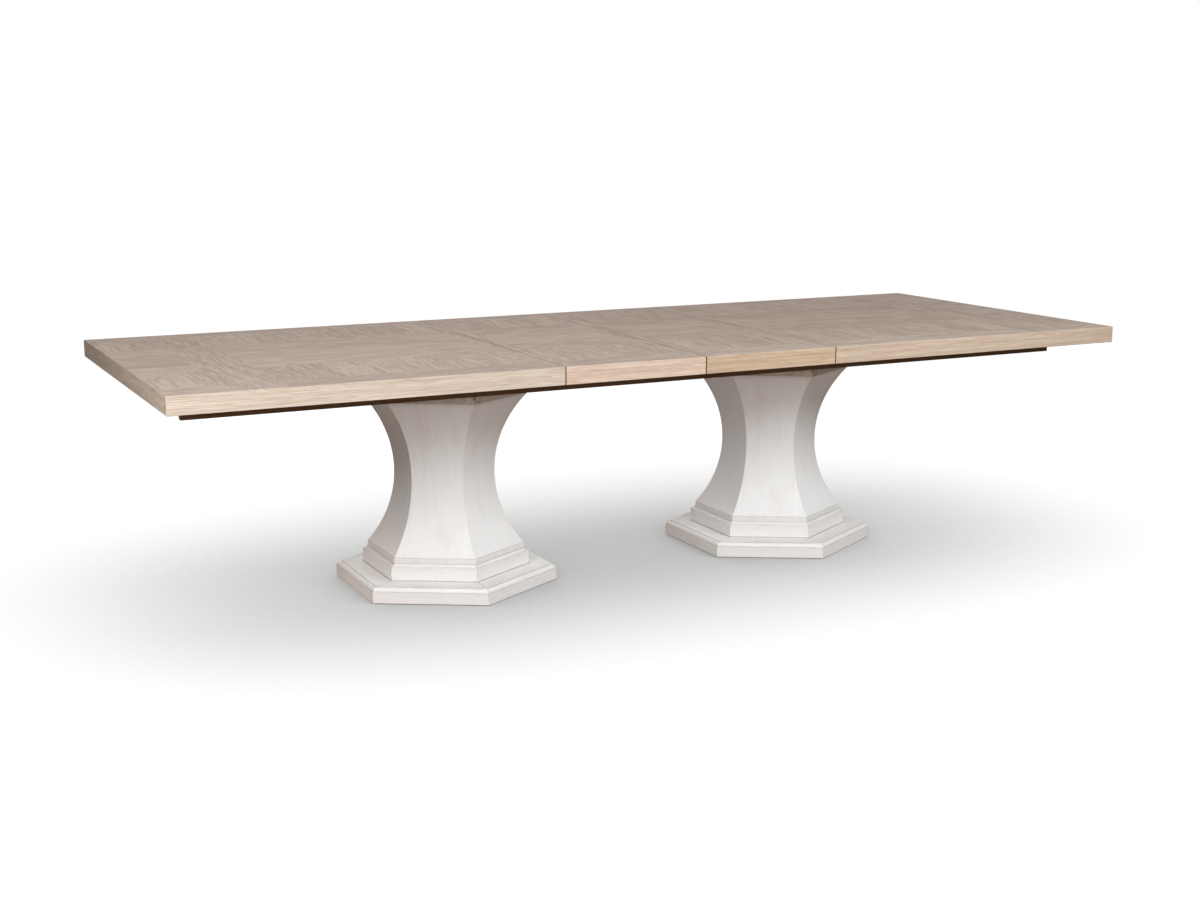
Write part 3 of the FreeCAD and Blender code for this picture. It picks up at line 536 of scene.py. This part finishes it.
def oak_top(name, face_dark, face_light, seed):
    """Greyed oak veneer above, solid oak on the edges.

    The grain runs across the table in the crossband, the joint strips and the bands on both sides
    of the middle, and along it elsewhere. Each veneer sheet takes its own tone and its own place
    in the noise, from a random number of the sheet, row and column that the point lies in, whose
    weights only keep neighbours apart. The figure is sin of a stretched noise times a large
    number, which draws nested pointed arches.
    On the edging the grain is 1 / edging_stretch times as long, with short dark dashes in it.
    """
    finish, shader = new_finish(name, 0.88, 0.06)
    x, y, z = split(finish, spot_on(finish))
    face_x, _, face_z = facing(finish)
    outward = size_of(finish, x)
    up = is_over(finish, face_z, facing_limit)
    endways = is_over(finish, size_of(finish, face_x), facing_limit)
    side_on = is_under(finish, size_of(finish, face_z), facing_limit)

    from_leaf_joint = size_of(finish, sum_of(finish, outward, -joint_place))
    from_joint = reckon(finish, "MINIMUM", from_leaf_joint, outward)
    strip = is_under(finish, from_joint, strip_half)
    past_field = is_over(finish, outward, top_length / 2 - end_strip - crossband)
    past_band = is_over(finish, outward, top_length / 2 - end_strip)
    full_width = larger(finish, strip, reckon(finish, "SUBTRACT", past_field, past_band))
    rows = [is_over(finish, y, edge) for edge in row_edges]
    front_band = reckon(finish, "SUBTRACT", rows[0], rows[1])
    back_band = reckon(finish, "SUBTRACT", rows[2], rows[3])
    in_band = larger(finish, full_width, larger(finish, front_band, back_band))
    crosswise = larger(finish, times(finish, in_band, up), times(finish, endways, side_on))
    level_across = either(finish, crosswise, y, x)
    across = either(finish, side_on, level_across, z)
    along = times(finish, either(finish, crosswise, x, y), either(finish, side_on, 1.0, edging_stretch))

    in_rows = reckon(finish, "SUBTRACT", 1.0, full_width)
    sheet_at = either(finish, crosswise, times(finish, sum_of(finish, y, -row_edges[1]), field_sheets),
                      times(finish, outward, band_sheets))
    sheet = times(finish, reckon(finish, "FLOOR", sheet_at), in_rows)
    edges_passed = sum_of(finish, sum_of(finish, rows[0], rows[1]), sum_of(finish, rows[2], rows[3]))
    row = times(finish, edges_passed, in_rows)
    column = sum_of(finish, sum_of(finish, strip, past_field), past_band)
    hand = is_over(finish, x, 0.0)
    number = sum_of(finish, blend(finish, (sheet, 1.37), (row, 17.1)),
                    blend(finish, (column, 5.3), (hand, 71.9)))
    number = times(finish, sum_of(finish, number, seed), up)
    chance = step(finish, "TexWhiteNoise", {"W": number}, output="Value", noise_dimensions="1D")
    depth = sum_of(finish, times(finish, chance, sheet_spread), seed)

    contour = streaks(finish, along, across, depth, lengthwise=1.2, crosswise=9.0, detail=1.0)
    arches = reckon(finish, "SINE", times(finish, contour, arch_turns))
    streak = streaks(finish, along, across, depth, lengthwise=4.0, crosswise=55.0)
    vein = streaks(finish, along, across, depth, lengthwise=12.0, crosswise=165.0)
    fibre = streaks(finish, along, across, depth, lengthwise=40.0, crosswise=620.0)
    short_mark = streaks(finish, along, across, depth, lengthwise=60.0, crosswise=360.0, detail=2.0)
    fine_mark = streaks(finish, along, across, depth, lengthwise=60.0, crosswise=1300.0, detail=1.0)
    dash = rising(finish, short_mark, 0.48, 0.64)
    pore = rising(finish, fine_mark, 0.6, 0.72)
    sheet_tone = sum_of(finish, chance, -0.5)
    tone = blend(finish, (arches, 0.02), (streak, 0.25), (vein, 0.45), (fibre, 0.3), (sheet_tone, 0.06))
    above = mixed(finish, rising(finish, tone, 0.36, 0.64), shade(155, 138, 127), shade(189, 172, 161))
    beside = mixed(finish, rising(finish, tone, 0.39, 0.61), face_dark, face_light)
    beside = mixed(finish, times(finish, dash, 0.35), beside, shade(160, 124, 98))
    wood = mixed(finish, side_on, above, beside)
    wood = mixed(finish, times(finish, pore, 0.14), wood, shade(128, 106, 90))
    # Dark brown along each joint between halves and leaves, fading out within 2.8 mm: painted shadow of
    # the hairline gap, kept off the end faces.
    off_end = is_under(finish, size_of(finish, face_x), 0.9)
    gap_shadow = times(finish, either(finish, side_on, 0.45, 0.95), off_end)
    by_joint = rising(finish, from_joint, *joint_shadow_line)
    wood = mixed(finish, times(finish, by_joint, gap_shadow), wood, shade(60, 42, 28))
    join(finish, wood, shader, "Base Color")
    roughen(finish, shader, fibre, 0.82, 0.95)
    emboss(finish, shader, sum_of(finish, fibre, times(finish, pore, -0.6)), 0.3)
    return finish


dress(oak_top("oak_left_half", shade(188, 172, 158), shade(208, 193, 180), 3.0), "top_panel_left",
      "edging_front_left", "edging_back_left", "edging_end_left")
dress(oak_top("oak_left_leaf", shade(194, 172, 154), shade(214, 194, 178), 11.0), "leaf_panel_left",
      "leaf_edging_front_left", "leaf_edging_back_left")
dress(oak_top("oak_right_leaf", shade(178, 154, 130), shade(198, 177, 154), 19.0), "leaf_panel_right",
      "leaf_edging_front_right", "leaf_edging_back_right")
dress(oak_top("oak_right_half", shade(179, 159, 140), shade(198, 180, 162), 29.0), "top_panel_right",
      "edging_front_right", "edging_back_right", "edging_end_right")

# Floor and backdrop
# A plain pale floor under a white sky. The camera sees the floor lit by the lamps and glowing white,
# the glow taken down by ambient occlusion where the table stands over it: a painted soft shadow on
# white. The table gets a warmer, weaker bounce.

floor_size = 60
shadow_reach = 4.0
darkest_painted_shadow_glow = 0.14
white = (1.0, 1.0, 1.0, 1.0)
floor_shows = (0.15, 0.15, 0.15, 1.0)
floor_gives = (0.285, 0.212, 0.165, 1.0)
sky_gives = (0.06, 0.047, 0.038, 1.0)


def seen_directly(finish):
    """1 for the rays of the camera, of mirrors and of glass, 0 for those that light a surface."""
    camera_ray = step(finish, "LightPath", {}, output="Is Camera Ray")
    path = camera_ray.node.outputs
    return larger(finish, camera_ray, larger(finish, path["Is Glossy Ray"], path["Is Transmission Ray"]))


def emptied(finish):
    """The material or the world with none of its first nodes."""
    finish.use_nodes = True
    finish.node_tree.nodes.clear()
    return finish


def finish_with(finish, shader):
    """Join a shader to the output of a material or of the world."""
    kind = "ShaderNodeOutputWorld" if isinstance(finish, bpy.types.World) else "ShaderNodeOutputMaterial"
    end = finish.node_tree.nodes.new(kind)
    finish.node_tree.links.new(shader, end.inputs["Surface"])


bpy.ops.mesh.primitive_plane_add(size=floor_size)
floor = bpy.context.object
floor.name = "floor"
ground = emptied(bpy.data.materials.new("pale_floor"))
seen = seen_directly(ground)
matt = step(ground, "BsdfDiffuse", {"Color": mixed(ground, seen, floor_gives, floor_shows)})
open_sky = step(ground, "AmbientOcclusion", {"Distance": shadow_reach}, output="AO", samples=12)
# The glow falls with the ambient occlusion near the table, down to the darkest glow: a painted soft
# shadow.
glow_with_painted_shadow = times(ground, seen, ranged(ground, open_sky, 0.0, 1.0, darkest_painted_shadow_glow, 1.0))
shine = step(ground, "Emission", {"Color": white, "Strength": glow_with_painted_shadow})
finish_with(ground, step(ground, "AddShader", {0: matt, 1: shine}))
floor.data.materials.append(ground)

sky = emptied(bpy.data.worlds.new("white_sky"))
bpy.context.scene.world = sky
hue = mixed(sky, seen_directly(sky), sky_gives, white)
finish_with(sky, step(sky, "Background", {"Color": hue, "Strength": 1.0}))

# Lamps
# Softboxes: three in front (left, right and low), one before the right pedestal, one by the left
# corner, one overhead, one on the right and two behind. A narrow one lights the foot of the left
# pedestal from its left.

lamp_light = (0.955, 1.0, 1.02)
low_light = (1.0, 0.965, 0.93)
corner_light = (0.985, 0.985, 0.97)
back_light = (1.0, 0.96, 0.92)
foot_light = (1.0, 0.78, 0.6)


def softbox(name, place, aim, size, power, colour=lamp_light, spread=180.0):
    """An area lamp at a place, turned to face a point, with its light held to an angle in degrees.

    It tips up from straight down by the angle whose cosine is -z / length of the way to the point.
    """
    lamp = bpy.data.lights.new(name, "AREA")
    lamp.shape = "RECTANGLE"
    lamp.size, lamp.size_y = size
    lamp.energy = power
    lamp.color = colour
    lamp.spread = math.radians(spread)
    holder = bpy.data.objects.new(name, lamp)
    bpy.context.scene.collection.objects.link(holder)
    holder.visible_camera = False
    holder.location = place
    way = np.array(aim, float) - np.array(place, float)
    tip = math.acos(-way[2] / np.linalg.norm(way))
    holder.rotation_euler = (tip, 0.0, math.atan2(way[1], way[0]) - math.pi / 2)


softbox("left_softbox", (-1.9, -3.5, 1.8), aim=(0.0, 0.0, 0.4), size=(1.6, 1.4), power=52.0)
softbox("right_softbox", (2.8, -3.2, 2.5), aim=(0.0, 0.0, 0.4), size=(1.6, 1.4), power=50.0)
softbox("near_softbox", (0.9, -2.1, 1.75), aim=(0.6, 0.0, 0.2), size=(1.4, 0.8), power=22.5)
softbox("low_softbox", (-1.2, -3.8, 0.55), aim=(0.0, 0.0, 0.4), size=(2.0, 0.7), power=18.0,
        colour=low_light)
softbox("corner_softbox", (-2.7, -1.6, 1.62), aim=(-1.2, -0.4, 0.7), size=(0.8, 0.8), power=31.5,
        colour=corner_light)
softbox("top_softbox", (-1.1, -0.5, 2.9), aim=(-0.6, -0.2, 0.75), size=(2.2, 1.4), power=20.0)
softbox("side_softbox", (3.2, 0.4, 2.8), aim=(0.0, 0.0, 0.6), size=(1.6, 1.4), power=22.0)
softbox("back_softbox", (-0.3, 3.4, 2.9), aim=(0.0, 0.0, 0.6), size=(3.0, 1.4), power=46.0,
        colour=back_light)
softbox("low_back_softbox", (0.4, 3.2, 0.8), aim=(0.0, 0.0, 0.4), size=(2.4, 1.0), power=32.0)
softbox("foot_softbox", (-2.5, 0.35, 0.42), aim=(-0.9, 0.0, 0.02), size=(0.4, 0.15), power=0.07,
        colour=foot_light, spread=22.0)

# Camera
# Standing to the left of the table's front, a little above its top, as the table was seen.
# It looks down by the first angle and to the right of straight across the table by the second.

looks_down = 11.462
looks_right = 26.544
lens = bpy.data.cameras.new("camera")
lens.lens = 49.489
lens.sensor_width = 36.0
eye = bpy.data.objects.new("camera", lens)
bpy.context.scene.collection.objects.link(eye)
eye.location = (-2.4294, -4.7594, 1.4441)
eye.rotation_euler = (math.radians(90 - looks_down), 0.0, math.radians(-looks_right))
bpy.context.scene.camera = eye
bpy.context.scene.view_settings.view_transform = "Standard"
